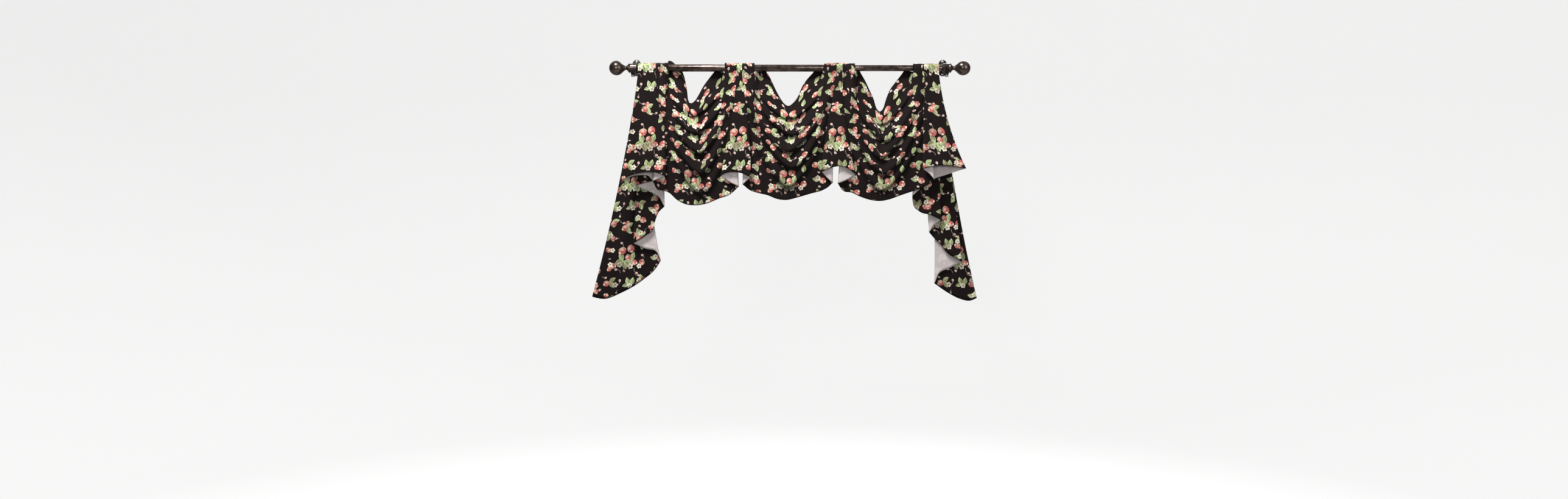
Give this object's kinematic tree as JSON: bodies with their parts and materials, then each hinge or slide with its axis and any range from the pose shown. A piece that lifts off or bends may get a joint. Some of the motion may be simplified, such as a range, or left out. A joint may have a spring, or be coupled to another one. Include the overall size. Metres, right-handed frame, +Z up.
{
  "type": "window valance on a curtain rod",
  "caption": "Scooped swag valance of printed cotton with bell pleats and stepped side tails, looped by tabs over a bronze ball-finial rod on wall brackets.",
  "frame": {"origin": "on the wall plane, midway between the brackets, at the height of the rod's axis", "axes": "+X along the rod to the viewer's right, +Y into the wall, +Z up; the room is on the -Y side"},
  "size_m": [1.186, 0.1283, 0.7462],
  "materials": {
    "printed_cotton": "matte woven cotton, dark aubergine ground with a small scattered berry, leaf and blossom print, unlined, pale greyish reverse",
    "bronze": "oil rubbed bronze, satin",
    "dark_iron": "dark painted iron, satin"
  },
  "bodies": {
    "root": {"valance_cloth": "printed_cotton", "rod_wide_tube": "bronze", "rod_thin_tube": "bronze", "finial_left": "bronze", "finial_right": "bronze", "bracket_left": "dark_iron", "bracket_right": "dark_iron", "thumbscrew_left": "dark_iron", "thumbscrew_right": "dark_iron"}
  },
  "joints": []
}
